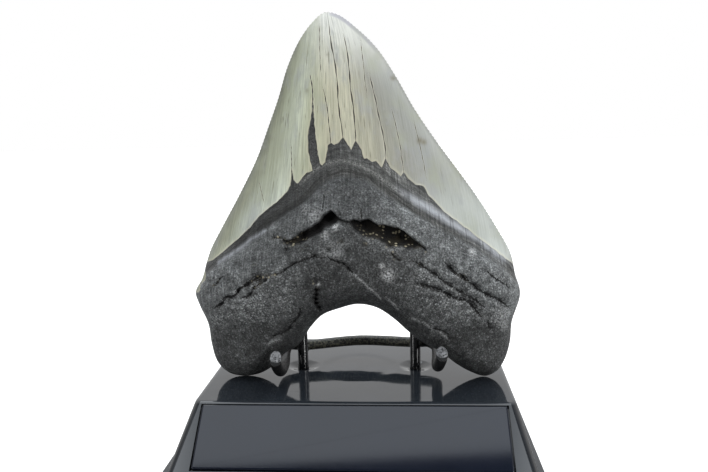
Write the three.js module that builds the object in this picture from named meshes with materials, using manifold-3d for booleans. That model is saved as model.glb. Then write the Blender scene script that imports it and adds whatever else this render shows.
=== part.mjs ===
// A fossil megalodon tooth held upright by a wire cradle on a moulded plastic display base.
// Millimetres, +X right, +Y towards the back, +Z up. The origin is the centre of the base's underside.
import * as THREE from "three";
import { mergeVertices } from "three/addons/utils/BufferGeometryUtils.js";
import Module from "manifold-3d";

const wasm = await Module();
wasm.setup();

// Gap kept between pieces that touch.
const GAP = 0.3;

// Stand base: a flange, steep sides, a sloped front that carries the nameplate, and a flat top.
const FLANGE_WIDTH = 118;
const FLANGE_DEPTH = 93.6;
const FLANGE_HEIGHT = 5.3;
const FLANGE_LIP = 2.6;
const TOP_WIDTH = 105;
const TOP_DEPTH = 65.6;
const TOP_HEIGHT = 22;
const TOP_FRONT_Y = -25.3;
const SHOULDER = 1.2;
const CORNER = 2.2;

// Nameplate, let into the sloped front.
const PLATE_WIDTH = 98.7;
const PLATE_HEIGHT = 21.4;
const PLATE_THICK = 1.5;
const PLATE_PROUD = 0.5;
const PLATE_TOP_MARGIN = 1.1;
const PLATE_GROOVE = 0.5;

// Wire cradle: two posts pressed into the base, and one bent rod welded behind them.
const POST_RADIUS = 1.95;
const POST_X = 20.9;
const POST_Y = 8.3;
const POST_TOP = TOP_HEIGHT + 27;
const POST_SUNK = 8;
const ROD_RADIUS = 1.9;

// Tooth: leans back on the posts, its two root lobes on the base.
const TOOTH_LEAN = THREE.MathUtils.degToRad(6);
const TOOTH_FOOT_Y = -2.1;
const TOOTH_CENTRE = new THREE.Vector2(0, 46);
const TOOTH_COLUMNS = 104;
const TOOTH_ROWS = 32;

// The tooth's outline in its own plane, width then height, from the tip down the left edge,
// round the left lobe, the arch and the right lobe, and up the right edge.
const TOOTH_OUTLINE = [
  [-9.3, 127.6], [-13, 125], [-18.1, 118.6], [-22.8, 109], [-26, 99], [-29.8, 89], [-34.4, 77.5],
  [-41.1, 64.7], [-47.7, 53.2], [-51.9, 45.5], [-53.3, 41], [-54.2, 36.5], [-57.2, 31], [-55.9, 26],
  [-53.2, 19.5], [-52.3, 12], [-50.3, 5.2], [-46.2, 1.2], [-41, 0], [-35.5, 0.7], [-30.8, 3.1],
  [-26.4, 7.6], [-20.4, 11.6], [-16.5, 17.4], [-11.8, 22.1], [-5.6, 24.5], [0.8, 26], [7.2, 24.8],
  [13.2, 20.8], [18.2, 16.2], [23.6, 11.9], [29.2, 9], [34.8, 4.6], [40, 1.6], [45, 0.1], [49.2, 2],
  [52, 6.2], [53.8, 12.5], [54.4, 19.5], [57.2, 29.5], [55.4, 36.5], [54.1, 43.2], [49.6, 51.7],
  [43.3, 62], [36.5, 71.8], [28.4, 83], [21.2, 94], [14.9, 105.3], [8.5, 115], [1.6, 122],
  [-4.7, 126.7],
];

// Thickness of the rounded (lingual) face and of the flatter (labial) face along the tooth.
const FRONT_THICK = [
  [-6, 9.5], [6, 10], [16, 11.5], [28, 16], [42, 20.5], [53, 19.8], [64, 16.4], [75, 13.8], [88, 11.4],
  [101, 8.8], [113, 6], [122, 3.2], [130, 0.9],
];
const BACK_THICK = [
  [-6, 3.6], [10, 4.4], [27, 5.5], [40, 5.3], [56, 4.8], [74, 4.4], [92, 3.6], [110, 2.2], [122, 1.1],
  [130, 0.4],
];
const MIDDLE = [[-6, 0], [42, 0.5], [60, 0.2], [73, -0.4], [85, -1.9], [101, -4], [116, -6], [130, -9.5]];
const HALF_WIDTH = [
  [-6, 56], [30, 57], [42, 53.6], [56, 46.6], [73, 36], [85, 29.3], [101, 21.3], [116, 13.6], [130, 5],
];

// Smooth curve through rows of (position, value).
function along(rows, x) {
  const n = rows.length;
  let i = 0;
  while (i < n - 2 && x > rows[i + 1][0]) i += 1;
  const slope = (k) => {
    const a = rows[Math.max(k - 1, 0)];
    const b = rows[Math.min(k + 1, n - 1)];
    return (b[1] - a[1]) / (b[0] - a[0]);
  };
  const width = rows[i + 1][0] - rows[i][0];
  const t = THREE.MathUtils.clamp((x - rows[i][0]) / width, 0, 1);
  const s = t * t * (3 - 2 * t);
  const ease = t * (1 - t) * width;
  return rows[i][1] + (rows[i + 1][1] - rows[i][1]) * s + ease * ((1 - t) * slope(i) - t * slope(i + 1));
}

// A closed mesh without normals or UVs, its shared corners merged.
function welded(geometry) {
  const bare = geometry.index ? geometry.clone() : geometry;
  for (const name of Object.keys(bare.attributes)) {
    if (name !== "position") bare.deleteAttribute(name);
  }
  return mergeVertices(bare, 1e-4);
}

function toSolid(geometry) {
  const mesh = welded(geometry);
  return new wasm.Manifold(new wasm.Mesh({
    numProp: 3,
    vertProperties: Float32Array.from(mesh.attributes.position.array),
    triVerts: Uint32Array.from(mesh.index.array),
  }));
}

function fromSolid(solid) {
  const mesh = solid.getMesh();
  const geometry = new THREE.BufferGeometry();
  geometry.setAttribute("position", new THREE.BufferAttribute(mesh.vertProperties, 3));
  geometry.setIndex(new THREE.BufferAttribute(mesh.triVerts, 1));
  return geometry;
}

// One level of the base: a rectangle with rounded corners, as points anticlockwise from above.
function levelRing({ halfWidth, front, back, radius, z }) {
  const corners = [
    [halfWidth - radius, back - radius, 0],
    [-halfWidth + radius, back - radius, 90],
    [-halfWidth + radius, front + radius, 180],
    [halfWidth - radius, front + radius, 270],
  ];
  const ring = [];
  for (const [x, y, start] of corners) {
    for (let step = 0; step <= 4; step += 1) {
      const angle = THREE.MathUtils.degToRad(start + step * 22.5);
      ring.push(new THREE.Vector3(x + radius * Math.cos(angle), y + radius * Math.sin(angle), z));
    }
  }
  return ring;
}

// A closed solid through stacked rings, capped flat at both ends.
function loft(rings) {
  const count = rings[0].length;
  const points = rings.flat();
  const index = [];
  for (let level = 0; level < rings.length - 1; level += 1) {
    for (let i = 0; i < count; i += 1) {
      const j = (i + 1) % count;
      const a = level * count;
      const b = a + count;
      index.push(a + i, a + j, b + j, a + i, b + j, b + i);
    }
  }
  const last = (rings.length - 1) * count;
  for (let i = 1; i < count - 1; i += 1) {
    index.push(0, i + 1, i);
    index.push(last, last + i, last + i + 1);
  }
  const geometry = new THREE.BufferGeometry().setFromPoints(points);
  geometry.setIndex(index);
  return geometry;
}

// Where the plate sits: its centre on the sloped front, and the turn that lays it there.
function plateFrame() {
  const run = FLANGE_DEPTH / 2 - FLANGE_LIP + TOP_FRONT_Y;
  const drop = TOP_HEIGHT - FLANGE_HEIGHT;
  const slope = Math.atan2(drop, run);
  const down = new THREE.Vector3(0, -Math.cos(slope), -Math.sin(slope));
  const out = new THREE.Vector3(0, -Math.sin(slope), Math.cos(slope));
  const centre = new THREE.Vector3(0, TOP_FRONT_Y, TOP_HEIGHT)
    .addScaledVector(down, PLATE_TOP_MARGIN + PLATE_HEIGHT / 2);
  return { centre, out, turn: slope };
}

// Box laid in the plate's plane, its outer face a given distance off the sloped front.
function plateBox(width, height, depth, outer) {
  const { centre, out, turn } = plateFrame();
  const box = new THREE.BoxGeometry(width, height, depth);
  box.rotateX(turn);
  const middle = centre.clone().addScaledVector(out, outer - depth / 2);
  box.translate(middle.x, middle.y, middle.z);
  return box;
}

function standBase() {
  const half = FLANGE_WIDTH / 2;
  const front = -FLANGE_DEPTH / 2;
  const back = FLANGE_DEPTH / 2;
  const topBack = TOP_FRONT_Y + TOP_DEPTH;
  const side = half - FLANGE_LIP;
  const topHalf = TOP_WIDTH / 2;
  const edge = 0.8;
  // How far the steep sides and the sloped front have spread one shoulder below the top.
  const spread = SHOULDER * (side - topHalf) / (TOP_HEIGHT - FLANGE_HEIGHT);
  const frontRun = SHOULDER * (TOP_FRONT_Y - front - FLANGE_LIP) / (TOP_HEIGHT - FLANGE_HEIGHT);
  const body = loft([
    levelRing({ halfWidth: half - edge, front: front + edge, back: back - edge, radius: CORNER, z: 0 }),
    levelRing({ halfWidth: half, front, back, radius: CORNER + edge, z: edge }),
    levelRing({ halfWidth: half, front, back, radius: CORNER + edge, z: FLANGE_HEIGHT - edge }),
    levelRing({
      halfWidth: half - edge, front: front + edge, back: back - edge, radius: CORNER, z: FLANGE_HEIGHT,
    }),
    levelRing({
      halfWidth: side, front: front + FLANGE_LIP, back: back - FLANGE_LIP, radius: CORNER, z: FLANGE_HEIGHT,
    }),
    levelRing({
      halfWidth: topHalf + spread, front: TOP_FRONT_Y - frontRun * 0.35, back: topBack + spread,
      radius: CORNER, z: TOP_HEIGHT - SHOULDER * 0.35,
    }),
    levelRing({
      halfWidth: topHalf - SHOULDER * 0.4, front: TOP_FRONT_Y + 0.3, back: topBack - SHOULDER * 0.4,
      radius: CORNER, z: TOP_HEIGHT,
    }),
  ]);
  const pocket = plateBox(
    PLATE_WIDTH + 2 * PLATE_GROOVE, PLATE_HEIGHT + 2 * PLATE_GROOVE, 12,
    12 - (PLATE_THICK - PLATE_PROUD + GAP),
  );
  let solid = toSolid(body).subtract(toSolid(pocket));
  for (const sign of [-1, 1]) {
    const bore = new THREE.CylinderGeometry(POST_RADIUS + GAP, POST_RADIUS + GAP, 2 * (POST_SUNK + GAP), 32);
    bore.rotateX(Math.PI / 2);
    bore.translate(sign * POST_X, POST_Y, TOP_HEIGHT);
    solid = solid.subtract(toSolid(bore));
  }
  return fromSolid(solid);
}

// A plain plate with bevelled edges; its face is bare.
function nameplate() {
  const bevel = 0.5;
  const w = PLATE_WIDTH / 2 - bevel;
  const h = PLATE_HEIGHT / 2 - bevel;
  const shape = new THREE.Shape([
    new THREE.Vector2(-w, -h), new THREE.Vector2(w, -h), new THREE.Vector2(w, h), new THREE.Vector2(-w, h),
  ]);
  const plate = new THREE.ExtrudeGeometry(shape, {
    depth: PLATE_THICK - 2 * bevel, bevelEnabled: true, bevelThickness: bevel, bevelSize: bevel,
    bevelSegments: 1,
  });
  plate.translate(0, 0, bevel - PLATE_THICK);
  const { centre, out, turn } = plateFrame();
  plate.rotateX(turn);
  const face = centre.clone().addScaledVector(out, PLATE_PROUD);
  plate.translate(face.x, face.y, face.z);
  return welded(plate);
}

// A straight round post with a slightly domed top and a chamfered foot in its bore.
function post(sign) {
  const foot = TOP_HEIGHT - POST_SUNK;
  const r = POST_RADIUS;
  const profile = [
    [0, foot], [r - 0.5, foot], [r, foot + 0.5], [r, POST_TOP - 1], [r - 0.4, POST_TOP - 0.35],
    [r - 1.1, POST_TOP], [0, POST_TOP],
  ].map(([x, y]) => new THREE.Vector2(x, y));
  const geometry = new THREE.LatheGeometry(profile, 28);
  geometry.rotateX(Math.PI / 2);
  geometry.translate(sign * POST_X, POST_Y, 0);
  return welded(geometry);
}

// The bent rod: a hook in front of each lobe, an arm under it and a bar behind the posts.
function cradleRod() {
  const z = (height) => TOP_HEIGHT + height;
  const path = new THREE.CatmullRomCurve3([
    new THREE.Vector3(-26.9, -14, z(10.8)),
    new THREE.Vector3(-27.1, -13, z(8.8)),
    new THREE.Vector3(-26.9, -11.2, z(6.3)),
    new THREE.Vector3(-26.5, -8.6, z(4.3)),
    new THREE.Vector3(-26.4, -4, z(3.5)),
    new THREE.Vector3(-26.6, 1.5, z(4.1)),
    new THREE.Vector3(-27.2, 7.5, z(6)),
    new THREE.Vector3(-26.4, 11.8, z(6.9)),
    new THREE.Vector3(-21.2, 12.9, z(6.4)),
    new THREE.Vector3(0, 16.6, z(7.1)),
    new THREE.Vector3(21, 13, z(7.5)),
    new THREE.Vector3(25.7, 12.7, z(7.7)),
    new THREE.Vector3(28.5, 9, z(7.1)),
    new THREE.Vector3(28.7, 3.6, z(6.1)),
    new THREE.Vector3(28.3, -3, z(5.6)),
    new THREE.Vector3(28.2, -8, z(6)),
    new THREE.Vector3(28.6, -11.8, z(7.9)),
    new THREE.Vector3(29.2, -13.8, z(10.4)),
    new THREE.Vector3(29.4, -14.6, z(12.7)),
  ], false, "centripetal");
  const section = new THREE.Shape();
  section.absarc(0, 0, ROD_RADIUS, 0, 2 * Math.PI, false);
  return welded(new THREE.ExtrudeGeometry(section, {
    extrudePath: path, steps: 72, curveSegments: 7, bevelEnabled: false,
  }));
}

// Distance from a point to the outline's nearest edge.
function edgeDistance(outline, x, y) {
  let best = Infinity;
  for (let i = 0; i < outline.length; i += 1) {
    const a = outline[i];
    const b = outline[(i + 1) % outline.length];
    const dx = b.x - a.x;
    const dy = b.y - a.y;
    const t = THREE.MathUtils.clamp(((x - a.x) * dx + (y - a.y) * dy) / (dx * dx + dy * dy), 0, 1);
    best = Math.min(best, Math.hypot(x - a.x - t * dx, y - a.y - t * dy));
  }
  return best;
}

// Half thickness at a point: thin cutting edges on the crown, full round edges on the root.
function thickness(u, v, d, front) {
  const s = Math.min(Math.abs(u - along(MIDDLE, v)) / along(HALF_WIDTH, v), 1);
  const crown = THREE.MathUtils.smoothstep(v, 36, 50);
  const fall = THREE.MathUtils.lerp(front ? 0.3 : 0.1, front ? 0.78 : 0.6, crown);
  const ridge = along(front ? FRONT_THICK : BACK_THICK, v) * (1 - fall * s * s);
  const reach = 1 - Math.min(d / (front ? 9 : 5.5), 1);
  const round = Math.sqrt(1 - reach * reach);
  const blade = 1 - Math.exp(-d / 4);
  return ridge * THREE.MathUtils.lerp(round, blade, crown);
}

function tooth() {
  const loop = new THREE.CatmullRomCurve3(
    TOOTH_OUTLINE.map(([x, y]) => new THREE.Vector3(x, y, 0)), true, "centripetal",
  );
  loop.arcLengthDivisions = 2000;
  const outline = loop.getSpacedPoints(TOOTH_COLUMNS).slice(0, TOOTH_COLUMNS);
  const geometry = new THREE.SphereGeometry(1, TOOTH_COLUMNS, TOOTH_ROWS);
  const position = geometry.attributes.position;
  const up = new THREE.Vector3(0, Math.sin(TOOTH_LEAN), Math.cos(TOOTH_LEAN));
  const forward = new THREE.Vector3(0, -Math.cos(TOOTH_LEAN), Math.sin(TOOTH_LEAN));
  const point = new THREE.Vector3();
  for (let i = 0; i < position.count; i += 1) {
    const turn = Math.atan2(position.getZ(i), -position.getX(i)) / (2 * Math.PI);
    const column = (Math.round(turn * TOOTH_COLUMNS) + TOOTH_COLUMNS) % TOOTH_COLUMNS;
    const height = position.getY(i);
    const reach = Math.sqrt(Math.max(1 - height * height, 0));
    const u = THREE.MathUtils.lerp(TOOTH_CENTRE.x, outline[column].x, reach);
    const v = THREE.MathUtils.lerp(TOOTH_CENTRE.y, outline[column].y, reach);
    const onEdge = Math.abs(height) < 1e-6;
    const depth = onEdge ? 0 : thickness(u, v, edgeDistance(outline, u, v), height > 0);
    point.set(u, 0, 0).addScaledVector(up, v).addScaledVector(forward, Math.sign(height) * depth);
    position.setXYZ(i, point.x, point.y, point.z);
  }
  geometry.computeBoundingBox();
  geometry.translate(0, TOOTH_FOOT_Y, TOP_HEIGHT + GAP - geometry.boundingBox.min.z);
  return welded(geometry);
}

function addMesh(group, name, geometry, colour, roughness, metalness) {
  const material = new THREE.MeshStandardMaterial({ color: colour, roughness, metalness });
  const mesh = new THREE.Mesh(geometry, material);
  mesh.name = name;
  group.add(mesh);
}

const display = new THREE.Group();
addMesh(display, "stand_base", standBase(), 0x0c0d0f, 0.12, 0);
addMesh(display, "nameplate", nameplate(), 0x1c2026, 0.3, 0);
addMesh(display, "left_post", post(-1), 0x111213, 0.2, 0);
addMesh(display, "right_post", post(1), 0x111213, 0.2, 0);
addMesh(display, "cradle_rod", cradleRod(), 0x17181a, 0.35, 0);
addMesh(display, "tooth", tooth(), 0x66645a, 0.55, 0);

export default display;
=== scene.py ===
import math

import bmesh
import bpy
import numpy as np
from mathutils import Matrix, Vector, noise


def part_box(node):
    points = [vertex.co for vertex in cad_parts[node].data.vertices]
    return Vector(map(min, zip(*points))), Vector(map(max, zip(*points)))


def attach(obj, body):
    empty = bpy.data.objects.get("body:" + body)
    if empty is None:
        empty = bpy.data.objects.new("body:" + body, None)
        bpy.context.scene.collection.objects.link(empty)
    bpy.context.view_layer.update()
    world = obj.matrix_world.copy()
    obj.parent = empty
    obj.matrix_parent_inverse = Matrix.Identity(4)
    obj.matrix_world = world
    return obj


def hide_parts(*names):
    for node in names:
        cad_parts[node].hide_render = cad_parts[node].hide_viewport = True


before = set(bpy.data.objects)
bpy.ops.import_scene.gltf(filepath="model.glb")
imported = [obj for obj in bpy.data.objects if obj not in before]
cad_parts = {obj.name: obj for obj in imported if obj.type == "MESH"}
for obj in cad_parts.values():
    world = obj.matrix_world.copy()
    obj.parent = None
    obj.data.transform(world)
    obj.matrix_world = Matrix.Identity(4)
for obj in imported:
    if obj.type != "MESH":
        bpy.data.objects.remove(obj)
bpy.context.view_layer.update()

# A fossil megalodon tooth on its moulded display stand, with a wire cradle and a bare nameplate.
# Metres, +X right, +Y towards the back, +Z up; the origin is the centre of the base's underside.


# ----------------------------------------------------------------------
# Studio: a pale floor, a room white behind and dim in front, soft boxes overhead, left and right,
# and a low strip on each side that draws the posts' highlights. The camera stands a little above
# the tooth's middle and a little to its right.
scene = bpy.context.scene
scene.view_settings.view_transform = "Standard"
scene.view_settings.look = "None"

CAMERA_PLACE = (0.0169, -0.2331, 0.112)
CAMERA_TURN, CAMERA_DIP, CAMERA_ROLL = math.radians(4.175), math.radians(9.61), math.radians(-1.4)
camera_data = bpy.data.cameras.new("camera")
camera_data.lens, camera_data.sensor_width, camera_data.clip_start = 34.6, 36.0, 0.01
camera = bpy.data.objects.new("camera", camera_data)
camera.matrix_world = (
    Matrix.Translation(CAMERA_PLACE) @ Matrix.Rotation(CAMERA_TURN, 4, "Z")
    @ Matrix.Rotation(math.pi / 2 - CAMERA_DIP, 4, "X") @ Matrix.Rotation(CAMERA_ROLL, 4, "Z")
)
scene.collection.objects.link(camera)
scene.camera = camera

# The room is white behind and dim on the camera's side, as gloss shows it; seen directly it is white.
world = bpy.data.worlds.new("white_room")
world.use_nodes = True
scene.world = world


def plug(node, inputs):
    """Sets inputs, by name or in order, to values, or links them to sockets or nodes' first live outputs."""
    for key, value in inputs.items() if isinstance(inputs, dict) else enumerate(inputs):
        if isinstance(value, bpy.types.Node):
            value = next(socket for socket in value.outputs if socket.enabled)
        if isinstance(value, bpy.types.NodeSocket):
            node.id_data.links.new(value, node.inputs[key])
        else:
            node.inputs[key].default_value = value


def node_adder(tree):
    """A function that adds a shader node to the tree, with its settings, its inputs and any ramp stops."""
    def add(kind, inputs=(), stops=(), **settings):
        made = tree.nodes.new("ShaderNode" + kind)
        for key, value in settings.items():
            setattr(made, key, value)
        plug(made, inputs)
        for number, (at, colour) in enumerate(stops):
            ramp = made.color_ramp.elements
            stop = ramp[number] if number < len(ramp) else ramp.new(at)
            stop.position, stop.color = at, linear(colour)
        return made
    return add


def linear(hex_code):
    """An sRGB hex colour as linear RGBA."""
    channels = [int(hex_code[i:i + 2], 16) / 255 for i in (1, 3, 5)]
    return (*[c / 12.92 if c <= 0.04045 else ((c + 0.055) / 1.055) ** 2.4 for c in channels], 1.0)


add = node_adder(world.node_tree)
towards = add("SeparateXYZ", {0: add("TexCoord").outputs["Generated"]}).outputs["Y"]
level = add("MapRange", (towards, -0.2, 0.35, 0.10, 1.0))
seen = add("Mix", {0: add("LightPath").outputs["Is Camera Ray"], 2: level, 3: 1.0})
plug(world.node_tree.nodes["Background"], {"Color": seen})


def soft_box(name, place, aim, width, height, watts, colour=(1.0, 1.0, 1.0)):
    """A rectangular lamp at a place, aimed at a point; sizes in metres."""
    light = bpy.data.lights.new(name, "AREA")
    light.shape = "RECTANGLE"
    light.size, light.size_y = width, height
    light.energy = watts
    light.color = colour
    lamp = bpy.data.objects.new(name, light)
    lamp.location = place
    lamp.rotation_euler = (Vector(aim) - Vector(place)).to_track_quat("-Z", "Y").to_euler()
    scene.collection.objects.link(lamp)
    return lamp


COOL_WHITE = (0.88, 0.94, 1.0)
TOOTH_MIDDLE, POSTS_MIDDLE = (0.0, 0.0, 0.07), (0.0, 0.0, 0.04)
overhead = soft_box("overhead_box", (-0.025, 0.082, 0.36), (-0.025, 0.082, 0.0), 0.35, 0.51, 1.25, COOL_WHITE)
overhead.rotation_euler = (0.0, 0.0, math.radians(3.6))
soft_box("right_box", (0.46, -0.29, 0.345), TOOTH_MIDDLE, 0.30, 0.34, 1.1)
soft_box("left_box", (-0.48, -0.33, 0.33), TOOTH_MIDDLE, 0.30, 0.34, 0.5)
soft_box("right_strip", (0.42, -0.36, 0.19), POSTS_MIDDLE, 0.16, 0.10, 0.9)
soft_box("left_strip", (-0.44, -0.37, 0.19), POSTS_MIDDLE, 0.16, 0.10, 0.65)

FLOOR_HALF = 3.0
bm = bmesh.new()
bmesh.ops.create_grid(bm, x_segments=1, y_segments=1, size=FLOOR_HALF)


def finished_mesh(bm, name):
    """The built shape as a mesh."""
    mesh = bpy.data.meshes.new(name)
    bm.to_mesh(mesh)
    bm.free()
    return mesh


floor_mesh = finished_mesh(bm, "floor")
floor = bpy.data.objects.new("floor", floor_mesh)
scene.collection.objects.link(floor)


def new_material(name, **values):
    """A material with its shader's plain values set; gives it, its shader and its node adder."""
    material = bpy.data.materials.new(name)
    material.use_nodes = True
    shader = material.node_tree.nodes["Principled BSDF"]
    plug(shader, {key.replace("_", " "): value for key, value in values.items()})
    return material, shader, node_adder(material.node_tree)


floor_paint, shader, add = new_material(
    "matt_white_paper", Base_Color=linear("#a8a8a8"), Roughness=0.9, Emission_Color=(1.0, 1.0, 1.0, 1.0),
)
plug(shader, {"Emission Strength": add("LightPath").outputs["Is Camera Ray"]})
floor_mesh.materials.append(floor_paint)


def add_piece(name, mesh, *nodes, slot):
    """A finished mesh as a smooth-shaded piece on the stand's one body, standing for the CAD nodes named."""
    piece = bpy.data.objects.new(name, mesh)
    scene.collection.objects.link(piece)
    for polygon in mesh.polygons:
        polygon.use_smooth = True
    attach(piece, "root")
    if nodes:
        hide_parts(*nodes)
    return piece


# ----------------------------------------------------------------------
# Display base: injection-moulded black ABS, polished. A bottom flange, steep sides, a sloped
# front with a shallow pocket for the nameplate, and a flat top with a round sink mark over an
# inner boss. Two blind holes take the posts, with the plastic drawn in a little round each.
MM = 0.001
FLANGE = Vector((118.0, 93.6, 5.3)) * MM
LIP = 2.6 * MM
TOP = 22.0 * MM
TOP_HALF = 52.5 * MM
TOP_FRONT, TOP_BACK = -25.3 * MM, 40.3 * MM
POST_AT = [Vector((side * 20.9, 8.3, 22.0)) * MM for side in (-1, 1)]
POST_R = 1.95 * MM

SLOPE = math.atan2(TOP - FLANGE.z, FLANGE.y / 2 - LIP + TOP_FRONT)
SLOPE_DOWN = Vector((0, -math.cos(SLOPE), -math.sin(SLOPE)))
SLOPE_OUT = Vector((0, -math.sin(SLOPE), math.cos(SLOPE)))
PLATE = Vector((98.7, 21.4, 1.5)) * MM
PLATE_GROOVE = 0.5 * MM
PLATE_PROUD = 0.5 * MM
PLATE_FROM_TOP = 1.1 * MM
PLATE_CENTRE = Vector((0, TOP_FRONT, TOP)) + SLOPE_DOWN * (PLATE_FROM_TOP + PLATE.y / 2)
POCKET_DEPTH = 1.3 * MM
SIDE_ROUND, RIM_ROUND, FLANGE_ROUND = 2.2 * MM, 0.8 * MM, 3.0 * MM
NEARLY = 0.1 * MM

bm = bmesh.new()
bmesh.ops.create_cube(bm, size=1.0)
bmesh.ops.scale(bm, vec=FLANGE, verts=bm.verts)
bmesh.ops.translate(bm, vec=(0, 0, FLANGE.z / 2), verts=bm.verts)
deck = max(bm.faces, key=lambda f: f.calc_center_median().z)
bmesh.ops.inset_region(bm, faces=[deck], thickness=LIP)
deck = bmesh.ops.extrude_discrete_faces(bm, faces=[deck])["faces"][0]
for v in deck.verts:
    v.co = Vector((math.copysign(TOP_HALF, v.co.x), TOP_FRONT if v.co.y < 0 else TOP_BACK, TOP))


def bevel_where(bm, test, width, segments, clamp=True):
    """Rounds every edge whose two ends pass the test."""
    edges = [e for e in bm.edges if test(e.verts[0].co, e.verts[1].co)]
    bmesh.ops.bevel(
        bm, geom=edges, offset=width, segments=segments, profile=0.5, affect="EDGES", material=-1,
        clamp_overlap=clamp,
    )


# The sides' four corners, the top's rim, the flange's four corners, then the flange's own edges.
bevel_where(bm, lambda a, b: abs(a.z - b.z) > 10 * MM, SIDE_ROUND, 5)
bevel_where(bm, lambda a, b: min(a.z, b.z) > TOP - NEARLY, RIM_ROUND, 4)
bevel_where(bm, lambda a, b: abs(a.z - b.z) > 4 * MM and max(a.z, b.z) < FLANGE.z + NEARLY, FLANGE_ROUND, 5)
bevel_where(
    bm,
    lambda a, b: abs(a.z - b.z) < 0.01 * MM and max(a.z, b.z) < FLANGE.z + NEARLY
    and max(abs(a.x), abs(b.x)) > FLANGE.x / 2 - FLANGE_ROUND - 2 * NEARLY and (
        min(abs(a.x), abs(b.x)) > FLANGE.x / 2 - NEARLY
        or min(abs(a.y), abs(b.y)) > FLANGE.y / 2 - NEARLY
        or min(abs(a.x), abs(b.x)) - FLANGE.x / 2 > -FLANGE_ROUND - NEARLY
        and min(abs(a.y), abs(b.y)) - FLANGE.y / 2 > -FLANGE_ROUND - NEARLY
    ),
    RIM_ROUND, 3,
)

# The pocket: the sloped face is inset, its inner loop laid square, and pushed in.
bm.normal_update()
slope_face = max(
    (f for f in bm.faces if f.normal.dot(SLOPE_OUT) > 0.99), key=lambda f: f.calc_area()
)
bmesh.ops.inset_region(bm, faces=[slope_face], thickness=1.0 * MM)
corner_places = [
    PLATE_CENTRE + Vector((sx * (PLATE.x / 2 + PLATE_GROOVE), 0, 0))
    + SLOPE_DOWN * sy * (PLATE.y / 2 + PLATE_GROOVE)
    for sx in (-1, 1) for sy in (-1, 1)
]
for v in slope_face.verts:
    v.co = min(corner_places, key=lambda p: (p - v.co).length)
pocket = bmesh.ops.extrude_discrete_faces(bm, faces=[slope_face])["faces"][0]
bmesh.ops.translate(bm, vec=-SLOPE_OUT * POCKET_DEPTH, verts=pocket.verts)

# The top is cut into a fine grid, finer round the posts, so that its sink mark can be sunk.
bm.normal_update()
deck = max((f for f in bm.faces if f.normal.z > 0.99), key=lambda f: f.calc_center_median().z)
COARSE, FINE = 1.5, 0.5
cuts = {("x", round(i * COARSE, 2)) for i in range(-34, 35)}
cuts |= {("y", round(i * COARSE, 2)) for i in range(-16, 27)}
for p in POST_AT:
    for axis, at in (("x", p.x), ("y", p.y)):
        cuts |= {(axis, round(at / MM + i * FINE, 2)) for i in range(-14, 15)}
deck_faces = [deck]
for axis, at in sorted(cuts):
    normal = Vector((1, 0, 0)) if axis == "x" else Vector((0, 1, 0))
    geometry = deck_faces + list({e for f in deck_faces for e in f.edges})
    geometry += list({v for f in deck_faces for v in f.verts})
    cut = bmesh.ops.bisect_plane(bm, geom=geometry, dist=1e-6, plane_co=normal * at * MM, plane_no=normal)
    deck_faces = [g for g in cut["geom"] if isinstance(g, bmesh.types.BMFace)]

# Depths and widths here are in mm: the round sink mark, the mould's waviness, the post dimples.
SINK_CENTRE = Vector((0, 7.5 * MM, TOP))
SINK_RADIUS, SINK_DEPTH, SINK_EDGE = 12.8, 0.11, 0.3
DIMPLE_RADIUS, DIMPLE_DEPTH = 6.0, 1.5
FLAT_RIM, FADE = 1.0, 3.0
for v in {v for f in deck_faces for v in f.verts if not v.is_boundary}:
    inside = min(TOP_HALF - abs(v.co.x), v.co.y - TOP_FRONT, TOP_BACK - v.co.y) / MM - FLAT_RIM
    fade = min(max(inside / FADE, 0.0), 1.0)
    from_sink = (v.co - SINK_CENTRE).length / MM
    drop = SINK_DEPTH / (1.0 + math.exp((from_sink - SINK_RADIUS) / SINK_EDGE))
    drop += 0.03 * noise.noise(v.co * 60.0) + 0.012 * noise.noise(v.co * 170.0)
    for p in POST_AT:
        from_post = (v.co - p).length / MM + 0.5 * noise.noise(v.co * 300.0)
        drop += DIMPLE_DEPTH * max(1.0 - from_post / DIMPLE_RADIUS, 0.0) ** 1.1
    v.co.z -= drop * fade * MM

# The post holes: the deck is opened under each post, its rim rounded and led down to a floor.
HOLE_DEPTH, HOLE_SLACK = 8.3 * MM, 0.15 * MM
HOLE_REACH, RIM_REACH = 2.2 * MM, 3.5 * MM
for p in POST_AT:
    core = [f for f in deck_faces if f.is_valid and (f.calc_center_median() - p).to_2d().length < HOLE_REACH]
    bmesh.ops.delete(bm, geom=core, context="FACES")
    deck_faces = [f for f in deck_faces if f.is_valid]
    rim = [
        e for e in bm.edges
        if e.is_boundary and max((v.co - p).to_2d().length for v in e.verts) < RIM_REACH
    ]
    for v in {v for e in rim for v in e.verts}:
        out = (v.co - p).to_2d().normalized() * (POST_R + HOLE_SLACK)
        v.co.x, v.co.y = p.x + out.x, p.y + out.y
    wall = bmesh.ops.extrude_edge_only(bm, edges=rim)["geom"]
    low = [g for g in wall if isinstance(g, bmesh.types.BMVert)]
    for v in low:
        v.co.z = TOP - HOLE_DEPTH
    bmesh.ops.contextual_create(
        bm, geom=[e for e in bm.edges if e.is_boundary and all(v in low for v in e.verts)]
    )
bmesh.ops.remove_doubles(bm, verts=bm.verts, dist=1e-6)
bmesh.ops.recalc_face_normals(bm, faces=bm.faces)
SHARP_ANGLE = math.radians(35)
for e in bm.edges:
    e.smooth = e.calc_face_angle(0.0) < SHARP_ANGLE
base_mesh = finished_mesh(bm, "display_base")

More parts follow.
